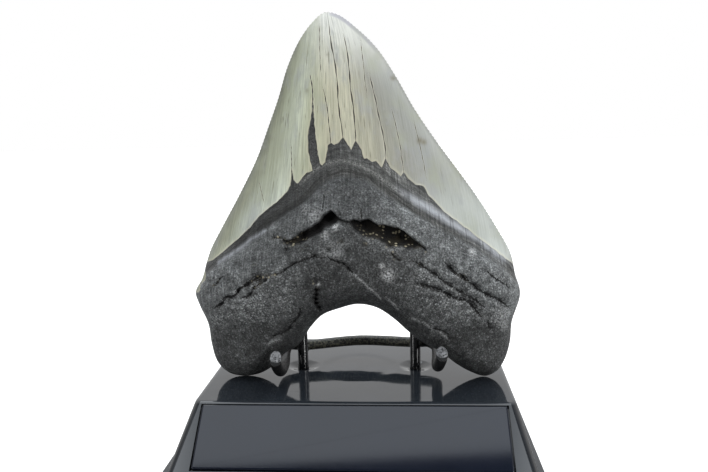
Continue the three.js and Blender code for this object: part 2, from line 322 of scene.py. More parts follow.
# Polished ABS: near black, mirror-like, with the faint orange peel of the mould, a few hairline
# rubs that only show in the gloss, and settled dust specks about 0.3 mm across.
black_abs, shader, add = new_material("polished_black_abs", IOR=1.53)
place = add("TexCoord").outputs["Object"]
smudge = add("TexNoise", {"Vector": place, "Scale": 38.0, "Detail": 5.0, "Roughness": 0.65})
rub = add("TexNoise", {
    "Vector": add("Mapping", {0: place, "Scale": (120.0, 1700.0, 1700.0), "Rotation": (0, 0, 0.5)}),
    "Scale": 1.0,
    "Detail": 3.0,
})
gloss = add("MapRange", (smudge, 0.35, 0.75, 0.035, 0.11))
scuffed = add("MapRange", (rub, 0.62, 0.74, 0.0, 0.2))
speck = add("TexVoronoi", {"Vector": place, "Scale": 330.0, "Randomness": 1.0})
speck_size = add("TexNoise", {"Vector": place, "Scale": 210.0, "Detail": 2.0})
speck_reach = add("MapRange", (speck_size, 0.6, 0.8, 0.0, 0.12))
speck_on = add("Math", (speck.outputs["Distance"], speck_reach), operation="LESS_THAN")
# Upward faces are paler and bluer, in patches.
facing_up = add("SeparateXYZ", {0: add("NewGeometry").outputs["Normal"]}).outputs["Z"]
paler_upward = add("Math", (
    add("MapRange", (facing_up, 0.55, 0.98)), add("MapRange", (smudge, 0.3, 0.7, 0.5, 1.0)),
), operation="MULTIPLY")
bare = add("Mix", {0: paler_upward, 6: linear("#0a0b0e"), 7: linear("#2d3238")}, data_type="RGBA")
peel = add("TexNoise", {"Vector": place, "Scale": 300.0, "Detail": 2.0})
plug(shader, {
    "Base Color": add("Mix", {0: speck_on, 6: bare, 7: linear("#6d7074")}, data_type="RGBA"),
    "Roughness": add("Math", (gloss, scuffed), operation="ADD"),
    "Normal": add("Bump", {"Height": peel, "Strength": 0.12, "Distance": 0.00008}),
})
base_mesh.materials.append(black_abs)
base = add_piece("display_base", base_mesh, "stand_base", slot="base_plastic")
base.modifiers.new("flat_faces", "WEIGHTED_NORMAL").keep_sharp = True


# ----------------------------------------------------------------------
# Nameplate: a black acrylic plate with bevelled edges, its face rubbed to a satin. It is glued
# into the pocket and left bare.
PLATE_CORNER, PLATE_BEVEL = 0.5 * MM, 0.55 * MM
bm = bmesh.new()
bmesh.ops.create_cube(bm, size=1.0)
bmesh.ops.scale(bm, vec=PLATE, verts=bm.verts)
bevel_where(bm, lambda a, b: abs(a.z - b.z) > PLATE.z / 2, PLATE_CORNER, 4, clamp=False)
bevel_where(bm, lambda a, b: min(a.z, b.z) > PLATE.z / 2 - 1e-6, PLATE_BEVEL, 3, clamp=False)
bmesh.ops.rotate(bm, verts=bm.verts, cent=(0, 0, 0), matrix=Matrix.Rotation(SLOPE, 3, "X"))
bmesh.ops.translate(bm, verts=bm.verts, vec=PLATE_CENTRE + SLOPE_OUT * (PLATE_PROUD - PLATE.z / 2))
plate_mesh = finished_mesh(bm, "bare_plate")

# Satin acrylic: even, slightly blue black; the rubbed face has a grain of about 0.15 mm.
satin_acrylic, shader, add = new_material("satin_black_acrylic", IOR=1.49)
place = add("TexCoord").outputs["Object"]
cloud = add("TexNoise", {"Vector": place, "Scale": 30.0, "Detail": 4.0, "Roughness": 0.6})
grain = add("TexNoise", {"Vector": place, "Scale": 6500.0, "Detail": 2.0})
plug(shader, {
    "Base Color": add("Mix", {0: cloud, 6: linear("#0a0e19"), 7: linear("#121928")}, data_type="RGBA"),
    "Roughness": add("MapRange", (cloud, 0.0, 1.0, 0.05, 0.09)),
    "Normal": add("Bump", {"Height": grain, "Strength": 0.15, "Distance": 0.00001}),
})
plate_mesh.materials.append(satin_acrylic)
plate = add_piece("bare_plate", plate_mesh, "nameplate", slot="plate_plastic")
plate.modifiers.new("flat_faces", "WEIGHTED_NORMAL").keep_sharp = True


# ----------------------------------------------------------------------
# Posts: two straight lengths of 3.9 mm steel wire, ends dressed round, dipped in gloss black
# enamel paint and pressed into the base. The tooth's back leans on their tops.
POST_TOP = TOP + 27.0 * MM
POST_FOOT = TOP - 8.0 * MM
FOOT_CHAMFER, DOME = 0.5 * MM, 1.6 * MM
POST_ROWS, POST_SIDES = 40, 40
post_meshes = []
for number, p in enumerate(POST_AT):
    bm = bmesh.new()
    profile = [(0.0, POST_FOOT), (POST_R - FOOT_CHAMFER, POST_FOOT), (POST_R, POST_FOOT + FOOT_CHAMFER)]
    straight = POST_TOP - POST_FOOT - DOME
    profile += [(POST_R, POST_FOOT + straight * i / POST_ROWS) for i in range(1, POST_ROWS + 1)]
    profile += [
        (POST_R - DOME * (1 - math.cos(a)), POST_TOP - DOME * (1 - math.sin(a)))
        for a in (math.radians(15 * i) for i in range(1, 6))
    ]
    profile += [(0.0, POST_TOP)]
    points = [bm.verts.new((x, 0, z)) for x, z in profile]
    edges = [bm.edges.new(pair) for pair in zip(points, points[1:])]
    bmesh.ops.spin(
        bm, geom=points + edges, cent=(0, 0, 0), axis=(0, 0, 1), angle=2 * math.pi, steps=POST_SIDES,
        use_merge=True,
    )
    bmesh.ops.remove_doubles(bm, verts=bm.verts, dist=1e-6)
    bmesh.ops.recalc_face_normals(bm, faces=bm.faces)
    for v in bm.verts:
        swell = 1 + 0.018 * noise.noise(v.co * 420.0 + Vector((number * 9.0, 0, 0)))
        v.co.x, v.co.y = v.co.x * swell, v.co.y * swell
    bmesh.ops.translate(bm, verts=bm.verts, vec=(p.x, p.y, 0))
    post_meshes.append(finished_mesh(bm, "post"))

# Dipped enamel paint: deep gloss black over the fine rings left by drawing the wire, which spread
# each highlight into an upright streak; a little dull in patches. Rings are drawn 0.4 mm apart.
gloss_paint, shader, add = new_material(
    "dipped_gloss_black_enamel", IOR=1.5, Coat_Weight=1.0, Coat_Roughness=0.05,
)
place = add("TexCoord").outputs["Object"]
patch = add("TexNoise", {"Vector": place, "Scale": 160.0, "Detail": 4.0})
rings = add("TexNoise", {
    "Vector": add("VectorMath", (place, (160.0, 160.0, 2200.0)), operation="MULTIPLY"),
    "Scale": 1.0,
    "Detail": 2.0,
})
plug(shader, {
    "Base Color": add("Mix", {0: patch, 6: linear("#060607"), 7: linear("#0e0f10")}, data_type="RGBA"),
    "Roughness": add("MapRange", (patch, 0.3, 0.75, 0.12, 0.2)),
    "Normal": add("Bump", {"Height": rings, "Strength": 0.7, "Distance": 0.0005}),
})
for name, mesh in zip(("left_post", "right_post"), post_meshes):
    mesh.materials.append(gloss_paint)
    add_piece("dipped_" + name, mesh, name, slot="post_wire")


# ----------------------------------------------------------------------
# Cradle: one length of the same wire, bent hot and dipped. A bar runs behind the posts, welded
# to them; its ends turn forward as arms under the lobes' inner edges and up as short hooks,
# whose sawn ends show bright crystalline metal.
ROD_R = 1.9
ROD_PATH = [
    (-26.9, -14, 10.8), (-27.1, -13, 8.8), (-26.9, -11.2, 6.3), (-26.5, -8.6, 4.3), (-26.4, -4, 3.5),
    (-26.6, 1.5, 4.1), (-27.2, 7.5, 6), (-26.4, 11.8, 6.9), (-21.2, 12.9, 6.4), (0, 16.6, 7.1), (21, 13, 7.5),
    (25.7, 12.7, 7.7), (28.5, 9, 7.1), (28.7, 3.6, 6.1), (28.3, -3, 5.6), (28.2, -8, 6), (28.6, -11.8, 7.9),
    (29.2, -13.8, 10.4), (29.4, -14.6, 12.7),
]


def smooth_line(points, closed=False, steps=16):
    """Points along a centripetal Catmull-Rom curve through the given points."""
    p = np.array(points, float)
    n, rows = len(p), []
    t = np.linspace(0, 1, steps, endpoint=False)[:, None]
    for i in range(n if closed else n - 1):
        if closed:
            a, b, c, d = p[i - 1], p[i], p[(i + 1) % n], p[(i + 2) % n]
        else:
            b, c = p[i], p[i + 1]
            a, d = (p[i - 1] if i else 2 * b - c), (p[i + 2] if i + 2 < n else 2 * c - b)
        ab, bc, cd = (np.sqrt(np.linalg.norm(y - x)) for x, y in ((a, b), (b, c), (c, d)))
        start = c - b + bc * ((b - a) / ab - (c - a) / (ab + bc))
        end = c - b + bc * ((d - c) / cd - (d - b) / (bc + cd))
        rows.append(
            (2 * (b - c) + start + end) * t**3 + (3 * (c - b) - 2 * start - end) * t**2 + start * t + b
        )
    return np.concatenate(rows if closed else rows + [p[-1:]])


rod_curve = bpy.data.curves.new("cradle", "CURVE")
rod_curve.dimensions = "3D"
rod_curve.bevel_depth, rod_curve.bevel_resolution, rod_curve.use_fill_caps = ROD_R * MM, 10, True
line = smooth_line(ROD_PATH, steps=10)
spline = rod_curve.splines.new("POLY")
spline.points.add(len(line) - 1)
for point, (x, y, z) in zip(spline.points, line):
    point.co = (x * MM, y * MM, TOP + z * MM, 1.0)
    point.radius = 1.0 + noise.noise(Vector((x, y, z)) * 0.35) * 0.03
rod_object = bpy.data.objects.new("cradle", rod_curve)
scene.collection.objects.link(rod_object)
bpy.context.view_layer.update()
rod_mesh = bpy.data.meshes.new_from_object(rod_object.evaluated_get(bpy.context.evaluated_depsgraph_get()))
bpy.data.objects.remove(rod_object)

# Its two ends: each flat end becomes one face, spread a little by the saw, tilted and deburred.
SAW_SPREAD, SAW_TILT, DEBURR = 1.1, 0.7, 0.15 * MM
bm = bmesh.new()
bm.from_mesh(rod_mesh)
bmesh.ops.remove_doubles(bm, verts=bm.verts, dist=1e-6)
caps = []
for end, before in ((line[0], line[1]), (line[-1], line[-2])):
    tip, out = Vector(end) * MM + Vector((0, 0, TOP)), Vector(end - before).normalized()
    from_tip = {f: f.calc_center_median() - tip for f in bm.faces}
    flat = [f for f, gap in from_tip.items() if abs(gap.dot(out)) < 0.05 * MM and gap.length < ROD_R * MM]
    caps += bmesh.ops.dissolve_faces(bm, faces=flat)["region"]
for f in caps:
    middle = f.calc_center_median()
    for v in f.verts:
        v.co = middle + (v.co - middle) * SAW_SPREAD
        v.co.z += SAW_TILT * (v.co.y - middle.y)
cap_edges = [e for f in caps for e in f.edges]
bmesh.ops.bevel(bm, geom=cap_edges, offset=DEBURR, segments=2, profile=0.5, affect="EDGES", material=-1)
for f in bm.faces:
    f.material_index = 1 if len(f.verts) > 8 else 0
bmesh.ops.recalc_face_normals(bm, faces=bm.faces)
bm.to_mesh(rod_mesh)
bm.free()

# Dip coating over scale: black, uneven, with grains of about 0.4 mm that catch the light.
dip_coat, shader, add = new_material("black_dip_coat_over_scale", IOR=1.5)
place = add("TexCoord").outputs["Object"]
scale_grain = add("TexNoise", {"Vector": place, "Scale": 1500.0, "Detail": 4.0, "Roughness": 0.6})
behind = add("SeparateXYZ", {0: place}).outputs["Y"]
dusty = add("Math", (
    add("MapRange", (behind, 0.007, 0.012)), add("MapRange", (scale_grain, 0.45, 0.62)),
), operation="MULTIPLY")
coat = add("Mix", {0: scale_grain, 6: linear("#050506"), 7: linear("#121212")}, data_type="RGBA")
plug(shader, {
    "Base Color": add("Mix", {0: dusty, 6: coat, 7: linear("#5c5c4e")}, data_type="RGBA"),
    "Roughness": add("MapRange", (scale_grain, 0.35, 0.7, 0.3, 0.6)),
    "Normal": add("Bump", {"Height": scale_grain, "Strength": 0.8, "Distance": 0.0003}),
})
rod_mesh.materials.append(dip_coat)

# Sawn mild steel: coarse bright facets in a dull grey ground.
sawn_steel, shader, add = new_material("sawn_mild_steel", Metallic=0.25)
facet = add("TexVoronoi", {"Vector": add("TexCoord").outputs["Object"], "Scale": 1900.0})
facet_tone = add("SeparateColor", {0: facet.outputs["Color"]})
plug(shader, {
    "Base Color": add("Mix", {
        0: facet_tone.outputs[0], 6: linear("#232426"), 7: linear("#9b9da0"),
    }, data_type="RGBA"),
    "Roughness": add("MapRange", (facet_tone.outputs[1], 0.0, 1.0, 0.3, 0.6)),
    "Normal": add("Bump", {"Height": facet.outputs["Distance"], "Strength": 0.8, "Distance": 0.0003}),
})
rod_mesh.materials.append(sawn_steel)
add_piece("bent_cradle", rod_mesh, "cradle_rod", slot="cradle_wire")

# A small bead of weld, dipped over with the rest, joins the bar to each post at the bar's height.
WELD_HALF = Vector((2.3, 1.5, 1.8)) * MM
for side, p, height in zip(("left", "right"), POST_AT, (6.4, 7.5)):
    bm = bmesh.new()
    bmesh.ops.create_icosphere(bm, subdivisions=4, radius=1.0)
    bmesh.ops.scale(bm, verts=bm.verts, vec=WELD_HALF)
    for v in bm.verts:
        v.co *= 1 + 0.22 * noise.noise(v.co * 900.0 + p * 50)
    bmesh.ops.translate(bm, verts=bm.verts, vec=(p.x, p.y + 2.0 * MM, TOP + height * MM))
    mesh = finished_mesh(bm, "weld_bead")
    mesh.materials.append(dip_coat)
    add_piece(f"{side}_weld_bead", mesh, slot="cradle_wire")


# ----------------------------------------------------------------------
# Tooth: one fossil shark's tooth, a broad blade capped with thin enamel above a bare neck band
# and a thick two-lobed root. Its root is dark and granular, with a long eroded hollow across it
# and shrinkage cracks. It stands loose on its lobes and leans back against the posts.
TOOTH_LEAN = math.radians(6)
TOOTH_FOOT_Y = -2.1
TOOTH_CENTRE = np.array([0.0, 46.0])
# Its outline in its own plane, in mm across and up: down the left edge, round the lobes, and up.
TOOTH_OUTLINE = [
    (-9.3, 127.6), (-13, 125), (-18.1, 118.6), (-22.8, 109), (-26, 99), (-29.8, 89), (-34.4, 77.5),
    (-41.1, 64.7), (-47.7, 53.2), (-51.9, 45.5), (-53.3, 41), (-54.2, 36.5), (-57.2, 31), (-55.9, 26),
    (-53.2, 19.5), (-52.3, 12), (-50.3, 5.2), (-46.2, 1.2), (-41, 0), (-35.5, 0.7), (-30.8, 3.1),
    (-26.4, 7.6), (-20.4, 11.6), (-16.5, 17.4), (-11.8, 22.1), (-5.6, 24.5), (0.8, 26), (7.2, 24.8),
    (13.2, 20.8), (18.2, 16.2), (23.6, 11.9), (29.2, 9), (34.8, 4.6), (40, 1.6), (45, 0.1), (49.2, 2),
    (52, 6.2), (53.8, 12.5), (54.4, 19.5), (57.2, 29.5), (55.4, 36.5), (54.1, 43.2), (49.6, 51.7), (43.3, 62),
    (36.5, 71.8), (28.4, 83), (21.2, 94), (14.9, 105.3), (8.5, 115), (1.6, 122), (-4.7, 126.7),
]
# Thickness of the swollen tongue-side face and of the flat lip-side face, by height.
FRONT_THICK = [
    (-6, 9.5), (6, 10), (16, 11.5), (28, 16), (42, 20.5), (53, 19.8), (64, 16.4), (75, 13.8), (88, 11.4),
    (101, 8.8), (113, 6), (122, 3.2), (130, 0.9),
]
BACK_THICK = [
    (-6, 3.6), (10, 4.4), (27, 5.5), (40, 5.3), (56, 4.8), (74, 4.4), (92, 3.6), (110, 2.2), (122, 1.1),
    (130, 0.4),
]
MIDDLE = [(-6, 0), (42, 0.5), (60, 0.2), (73, -0.4), (85, -1.9), (101, -4), (116, -6), (130, -9.5)]
HALF_WIDTH = [
    (-6, 56), (30, 57), (42, 53.6), (56, 46.6), (73, 36), (85, 29.3), (101, 21.3), (116, 13.6), (130, 5),
]
# The lower border of the enamel, with its torn points, and the crease between neck and root.
ENAMEL_EDGE = [
    (-54, 41.0), (-49, 42.5), (-44.9, 45.7), (-42, 48.1), (-38.9, 50.5), (-35.1, 53.6), (-32.9, 56.3),
    (-30.7, 58.4), (-27.8, 60.7), (-25.3, 62.4), (-21.4, 66), (-20.5, 68), (-20.1, 73), (-19.5, 69.5),
    (-18, 68.5), (-15, 71.8), (-12.7, 72.6), (-13.5, 75.5), (-14.3, 79), (-14.5, 83), (-14.1, 87),
    (-13.4, 91), (-13.0, 97), (-12.7, 92), (-12.2, 87), (-11.6, 82), (-11.1, 78), (-10.4, 75), (-9.6, 74.3),
    (-8.5, 75.4), (-7.9, 78.5), (-7.6, 81), (-6.5, 81.8), (-5.6, 81), (-4, 81.6), (-2.5, 83.6), (-1, 81),
    (0.2, 79.3), (1.7, 82.4), (3.0, 80), (3.6, 78.5), (4.4, 76), (5.4, 76.4), (7, 75), (8.4, 75.4),
    (10.2, 73.2), (11.5, 76.2), (12.7, 73.5), (16.5, 70.2), (17.4, 71.5), (19, 69.2), (21, 67.5), (24, 66.7),
    (25.3, 64), (30.5, 58.5), (38, 52.5), (46.5, 46), (52, 41.5), (56, 38.5),
]
NECK_CREASE = [
    (-56, 35), (-50, 38.5), (-44.5, 42), (-40, 45), (-36, 47.8), (-32, 50.4), (-29.3, 53), (-26.7, 55.1),
    (-23.9, 56.7), (-20.4, 59), (-17, 61), (-13.6, 63.6), (-10.5, 67), (-7, 69.4), (-3, 70.5), (4.5, 69),
    (17, 60), (28.5, 53), (40, 46.5), (49, 40), (57, 32),
]
NECK_RIDGE_RIGHT = [
    (14.5, 66), (18.6, 63.6), (21.8, 61.8), (25.1, 59.6), (28.3, 57.5), (31.5, 55.3), (36.5, 52.3),
    (41.7, 49), (46, 45.7), (50.6, 42.1),
]
NECK_RIDGE_LEFT = [
    (-46, 42.2), (-44.1, 43.5), (-42, 44.6), (-39.6, 46.2), (-37, 47.9), (-34.8, 50), (-31.8, 51.4),
    (-29.8, 52.6),
]
NECK_ARC = [(-17, 68.5), (-12.5, 72.5), (-8, 75), (-3.5, 76), (1, 75), (6, 72.5), (11, 69), (17, 64)]
# The hollow's upper lip and its floor's lower edge.
HOLLOW_TOP = [
    (-24, 49.6), (-20.9, 49.6), (-18.5, 51), (-16.4, 52.8), (-14.7, 53.5), (-12.7, 54.7), (-10.7, 56),
    (-8.8, 57.9), (-6.5, 59.2), (-4.5, 57.6), (-2.5, 56.3), (-0.5, 55.9), (1.1, 56.4), (3.1, 56), (5.3, 56.5),
    (7.3, 55.5), (8.9, 54.5), (12.7, 54.1), (16.6, 52.7), (18.5, 51.4), (20.5, 49.7), (22.4, 48.4),
    (23.7, 46.8), (24.9, 45.1),
]
HOLLOW_FOOT = [
    (-24, 49.2), (-20.9, 47.6), (-16.8, 48.3), (-14.7, 48.9), (-12.7, 50.2), (-10.7, 51.2), (-9.4, 52.1),
    (-8, 53.8), (-6.7, 54.1), (-4.8, 54.6), (-3.8, 54.8), (-2.5, 54.3), (-0.2, 53.8), (1.4, 52.4),
    (3.1, 51.4), (5, 50.4), (7.2, 50), (9.2, 49), (11.1, 47.7), (12, 46.7), (17.2, 46.6), (22.4, 46.2),
    (24.9, 44.8),
]
# Cracks, each with its half width in mm: in the enamel, and in the root.
ENAMEL_CRACKS = [
    (0.20, [(-8, 125), (-6.5, 115.5), (-5, 106.5), (-4.5, 102), (-4, 94), (-2.8, 85.5), (-2.5, 81)]),
    (0.20, [(-2.8, 120), (-1, 111.5), (-0.2, 102), (0.8, 94), (1.5, 85.5), (1.7, 80)]),
    (0.17, [(6, 106.5), (8, 97.5), (9.5, 89.5), (11.2, 81), (11.5, 74)]),
    (0.20, [(-14, 106), (-13, 99), (-12.7, 90)]),
    (0.14, [(-9.5, 101), (-8.4, 96), (-7.1, 87), (-6.5, 80)]),
    (0.12, [(13.5, 94), (15, 87), (16.6, 78.5), (17.5, 70)]),
    (0.12, [(-20.6, 82), (-20.2, 70)]),
    (0.10, [(-11, 124), (-10.5, 112), (-10, 104)]),
    (0.10, [(3, 118), (4.5, 106), (5.5, 96)]),
    (0.10, [(21, 90), (24, 76), (25, 69)]),
    (0.10, [(-33, 70), (-30, 62)]),
]
ROOT_CRACKS = [
    (0.66, [
        (-48.7, 26.2), (-46.4, 27.2), (-44.8, 28.7), (-43.5, 30.3), (-41, 30.5), (-38.2, 33.4), (-36, 34.7),
        (-33, 36.5), (-30.5, 37.7), (-27.8, 38.2), (-27.1, 39.1),
    ]),
    (0.32, [
        (-27.5, 38.6), (-24.3, 38.9), (-21.6, 40.4), (-19.1, 42.1), (-15.8, 43.2), (-12.4, 44.6),
        (-9.8, 44.2), (-7.8, 44.1),
    ]),
    (0.36, [(-38.6, 29.9), (-36.4, 30.4), (-35, 31.2), (-34.2, 32.1), (-33, 33.7), (-30, 36), (-27.1, 37.4)]),
    (0.26, [(-48.4, 33.2), (-45.9, 35.4), (-44.3, 37.2), (-43.2, 38.2)]),
    (0.42, [
        (-17.7, 27.9), (-18.9, 23.7), (-21.5, 20.8), (-22.7, 18.9), (-24.5, 17.7), (-26.6, 17), (-29.5, 15.3),
    ]),
    (0.80, [(-11.9, 34.5), (-12, 32.2), (-12.5, 30.4), (-12.2, 27.6), (-11.3, 25)]),
    (0.36, [
        (-7.8, 44.6), (-6.5, 43.7), (-4.9, 42.9), (-2.9, 42.4), (-2, 41.6), (-0.7, 40.2), (0.2, 39.4),
        (1.4, 38),
    ]),
    (0.58, [
        (29.5, 43.7), (30.7, 41.8), (32, 40.4), (33.6, 38.8), (35.6, 37.4), (38.6, 35.1), (40.9, 33.2),
        (43.3, 31.4), (45.3, 30.3), (47.3, 29.4), (50.5, 27.2), (52.5, 25.5),
    ]),
    (0.26, [(43.9, 39.4), (45.1, 37.8), (46.4, 36.8), (48.5, 35.7), (50.3, 34.2), (52.2, 32.3)]),
    (0.32, [(12.7, 46.1), (14.6, 43.8), (16.2, 42.5)]),
    (0.38, [
        (18.4, 42.7), (21, 42), (22.6, 41.3), (24.5, 40), (27.8, 37.6), (30.7, 35.3), (34.3, 33),
        (38.7, 30.1), (41.4, 28.3), (44.8, 25.4),
    ]),
    (0.54, [
        (20.9, 35.4), (22.6, 34.7), (26.5, 33.5), (28.8, 32.8), (30.4, 31.9), (31.7, 31), (33.4, 29.9),
        (37.1, 29.1), (39.8, 26.9), (42.2, 24), (43.6, 22.2),
    ]),
    (0.28, [(44.6, 22.2), (45.4, 19.3), (45.7, 17.8)]),
    (0.36, [(25.6, 19.6), (28.9, 18.5), (31, 17.4), (33, 14.4)]),
    (0.24, [(-27.3, 50.4), (-24.5, 50.8), (-22.3, 50.2), (-21.3, 49.2), (-21.6, 46.9), (-22.2, 45)]),
    (0.16, [(-9.2, 65), (-9.2, 58.5)]),
    (0.12, [(-3.9, 63.5), (-3.7, 57)]),
    (0.14, [(3.4, 60.5), (3.6, 55.5)]),
]
BACK_CRACKS = [
    (0.20, [(-6, 118), (-5, 100), (-3, 80), (-2, 58)]), (0.14, [(6, 96), (9, 78), (12, 58)]),
    (0.14, [(-16, 92), (-18, 74), (-21, 56)]), (0.35, [(-48, 24), (-34, 29), (-20, 30), (-8, 34)]),
    (0.35, [(10, 33), (24, 30), (38, 24), (50, 22)]),
]
# Pits in the root: across, up, radius, depth. And lighter scuffs, a few of them painted highlights on ridges:
# across, up, radius, strength.
PITS = [
    (-3.1, 49.2, 0.9, 0.8), (4.6, 48.2, 0.9, 0.8), (-7.1, 46.7, 1.1, 1.2), (-34.7, 31.4, 1.3, 1.2),
    (-1.2, 46.3, 0.6, 0.6), (21.3, 35, 1.0, 1.0), (-15.4, 46.3, 0.6, 0.5), (-32.9, 43.4, 0.7, 0.6),
    (-32.9, 42, 0.7, 0.6), (-39.3, 41.5, 0.7, 0.5), (-17.3, 33.4, 0.9, 0.4), (10, 24.5, 0.8, 0.5),
    (-10.8, 41.4, 0.6, 0.6), (-41, 20, 0.8, 0.3), (-30, 24, 0.9, 0.3), (40, 12, 0.9, 0.4), (33, 20, 0.8, 0.4),
    (-11.7, 36, 1.2, 0.8), (14.3, 104.3, 0.7, 0.5), (-15.1, 109.5, 0.5, 0.3), (-53, 39.6, 0.9, 1.2),
    (46.5, 26.5, 0.6, 0.5), (-14.5, 47.8, 0.5, 0.5), (-38, 9.5, 0.7, 0.5),
]
SCUFFS_AND_HIGHLIGHTS = [
    (11.9, 38.2, 1.5, 1.0), (10, 41.3, 0.7, 0.9), (39.6, 44.9, 0.9, 0.9), (-5.0, 54.4, 0.9, 1.0),
    (-12, 58, 2.2, 0.35), (-15, 60, 1.4, 0.3), (-26.9, 56, 0.6, 0.7), (49.5, 23.5, 2.2, 0.5),
    (50.5, 20, 1.6, 0.45), (-11.1, 35.3, 0.6, 0.9), (-39.6, 32.3, 0.7, 0.9), (-18.5, 67.6, 1.0, 0.6),
    (-16.5, 69, 1.0, 0.6), (-8.5, 51.5, 1.2, 0.5), (-14.5, 50.5, 0.8, 0.4), (-5.5, 46.5, 2.4, 0.3),
    (14, 48.5, 2.4, 0.3),
]
# Fine raised wrinkles in the root, worn pale.
WRINKLES = [
    [(0.2, 39.4), (2.8, 36.6), (5, 34.2), (7.5, 32), (9.4, 29.7)], [(19.5, 22.7), (22.5, 21.5), (26.3, 19.4)],
    [(29.2, 17.3), (31.3, 15.8)], [(10.8, 30.5), (13, 28.6), (15, 26)], [(-30, 13.5), (-26, 15)],
]
RUST = [
    (-24.5, 50.8, 2.0, 1.0), (-18.5, 49, 2.6, 1.0), (-31, 37.2, 3.0, 0.9), (-27.5, 38.6, 2.0, 0.9),
    (-11.7, 36, 1.4, 1.0), (8, 51, 4.0, 0.8), (15, 48.6, 4.0, 1.0), (21, 46.5, 3.0, 1.0), (-3, 50, 1.1, 1.0),
    (4.6, 48.2, 1.1, 1.0), (36, 37.3, 1.5, 0.9), (-48, 36.5, 1.5, 0.8),
]
ENAMEL_STAINS = [
    (23.1, 82.4, 0.9, 0.8), (24.4, 82.0, 0.8, 0.8), (14.1, 104.3, 0.8, 0.7), (-15, 100, 0.6, 0.4),
    (-8, 112, 0.5, 0.4),
]
# Two places on the left edge where a scale of enamel is left on the root: across, up, radius.
LEFT_SCALES = [(-52.9, 36.8, 2.0), (-55.2, 33.0, 1.9)]
HOLLOW_DEPTH, ENAMEL_THICK = 5.0, 0.28
NIB_OUT, NIB_IN = 0.15, -0.06
COLUMNS, ROWS, FRONT_ROWS = 520, 190, 126


def along(rows, x):
    """A smooth curve through rows of (position, value), read at x."""
    at, value = np.array(rows, float).T
    before, after = np.maximum(np.arange(len(at)) - 1, 0), np.minimum(np.arange(len(at)) + 1, len(at) - 1)
    slope = (value[after] - value[before]) / (at[after] - at[before])
    i = np.clip(np.searchsorted(at, x) - 1, 0, len(at) - 2)
    span = at[i + 1] - at[i]
    t = np.clip((x - at[i]) / span, 0, 1)
    ease = t * (1 - t) * span
    rise = (value[i + 1] - value[i]) * t * t * (3 - 2 * t)
    return value[i] + rise + ease * ((1 - t) * slope[i] - t * slope[i + 1])


def step_up(x, low, high):
    """0 below low and 1 above high, with a smooth rise between them."""
    t = np.clip((x - low) / (high - low), 0, 1)
    return t * t * (3 - 2 * t)


def from_line(line, u, v):
    """Distance to a line, positive on its left as it runs, and the nearest point's place along it, 0 to 1."""
    line = np.array(line, float)
    best, share, side = np.full(u.shape, 1e9), np.zeros(u.shape), np.ones(u.shape)
    lengths = np.linalg.norm(np.diff(line, axis=0), axis=1)
    start = 0.0
    for a, b, length in zip(line, line[1:], lengths):
        du, dv = (b - a) / length
        s = np.clip((u - a[0]) * du + (v - a[1]) * dv, 0, length)
        gap = np.hypot(u - a[0] - s * du, v - a[1] - s * dv)
        near = gap < best - 1e-9
        best = np.where(near, gap, best)
        share = np.where(near, (start + s) / lengths.sum(), share)
        side = np.where(near, np.where(du * (v - a[1]) >= dv * (u - a[0]), 1.0, -1.0), side)
        start += length
    return best * side, share


bm = bmesh.new()
bmesh.ops.create_uvsphere(bm, u_segments=COLUMNS, v_segments=ROWS, radius=1.0)
ball = np.array([v.co for v in bm.verts])
row = np.rint(np.arccos(np.clip(ball[:, 2], -1, 1)) / math.pi * ROWS).astype(int)
column = np.rint(np.arctan2(ball[:, 1], ball[:, 0]) / (2 * math.pi) * COLUMNS).astype(int) % COLUMNS
front = row <= FRONT_ROWS

# Columns of the ball go to points round the outline, closer together along the cutting edges.
outline = smooth_line(TOOTH_OUTLINE, closed=True, steps=12)
pace = np.linalg.norm(np.roll(outline, -1, 0) - outline, axis=1) * np.where(outline[:, 1] > 41, 1.4, 1.0)
travel = np.concatenate([[0], np.cumsum(pace)])
loop = np.vstack([outline, outline[:1]])
shares = np.arange(COLUMNS) / COLUMNS * travel[-1]
rim = np.stack([np.interp(shares, travel, loop[:, i]) for i in (0, 1)], 1)[column]

# Rows go from each face's middle to the edge, closest at the edge.
t = np.where(front, row / FRONT_ROWS, (ROWS - row) / (ROWS - FRONT_ROWS))
close = 0.08 + 0.27 * step_up(rim[:, 1], 36, 50)
reach = 0.75 * t + (1.5 - close) * t**2 + (close - 1.25) * t**3
u, v = (TOOTH_CENTRE + (rim - TOOTH_CENTRE) * reach[:, None]).T
from_edge = np.abs(from_line(loop, u, v)[0])

across = (u - along(MIDDLE, v)) / along(HALF_WIDTH, v)
crown = step_up(v, 36, 50)
fall = np.where(front, 0.3 + 0.48 * crown, 0.1 + 0.5 * crown)
ridge = np.where(front, along(FRONT_THICK, v), along(BACK_THICK, v))
ridge = ridge * (1 - fall * np.minimum(np.abs(across), 1) ** 2)
rounded = np.sqrt(1 - (1 - np.minimum(from_edge / np.where(front, 9.0, 5.5), 1)) ** 2)
thick = ridge * ((1 - crown) * rounded + crown * (1 - np.exp(-from_edge / 4)))


def lumps(size, seed):
    """Smooth noise over the tooth's face, about -1 to 1, with lumps of a size in mm."""
    apart = ~front * 7.0
    return np.array([noise.noise(Vector((a / size, b / size, seed + c))) for a, b, c in zip(u, v, apart)])


coarse, middling, fine = lumps(9.0, 1.5), lumps(3.0, 2.5), lumps(1.2, 3.5)
wander = 0.28 * middling + 0.22 * fine

